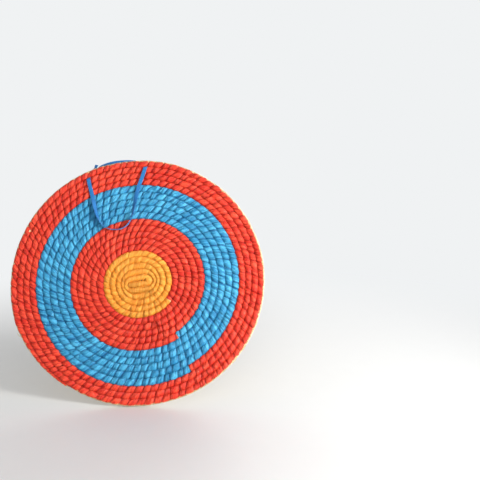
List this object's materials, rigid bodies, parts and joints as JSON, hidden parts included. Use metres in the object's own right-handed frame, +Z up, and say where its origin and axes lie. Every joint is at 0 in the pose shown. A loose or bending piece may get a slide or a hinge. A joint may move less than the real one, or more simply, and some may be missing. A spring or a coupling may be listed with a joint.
{
  "type": "archery target boss",
  "caption": "Round archery boss of straw rope wound flat in a spiral, painted in coloured zones on its face, with a flat cord to hang it by.",
  "frame": {"origin": "on the flat back, in the middle of the coil, on the short straight start of the rope", "axes": "+Z up as the boss hangs, -Y out of the painted face, +Y out of the bare back, +X to the right as seen from the face"},
  "size_m": [0.4996, 0.0359, 0.4879],
  "materials": {
    "gold_straw": "satin paint over twisted straw, bare on the back",
    "red_straw": "satin paint over twisted straw, bare on the back",
    "blue_straw": "satin paint over twisted straw, bare on the back",
    "twine": "matt natural fibre",
    "blue_cord": "flat woven synthetic cord, satin"
  },
  "bodies": {
    "root": {"bull_rope": "gold_straw", "inner_red_rope": "red_straw", "blue_rope": "blue_straw", "outer_red_rope": "red_straw", "binding_twine_1": "twine", "binding_twine_2": "twine", "binding_twine_3": "twine", "hanging_cord": "blue_cord", "hanging_cord_knot": "blue_cord"}
  },
  "joints": []
}
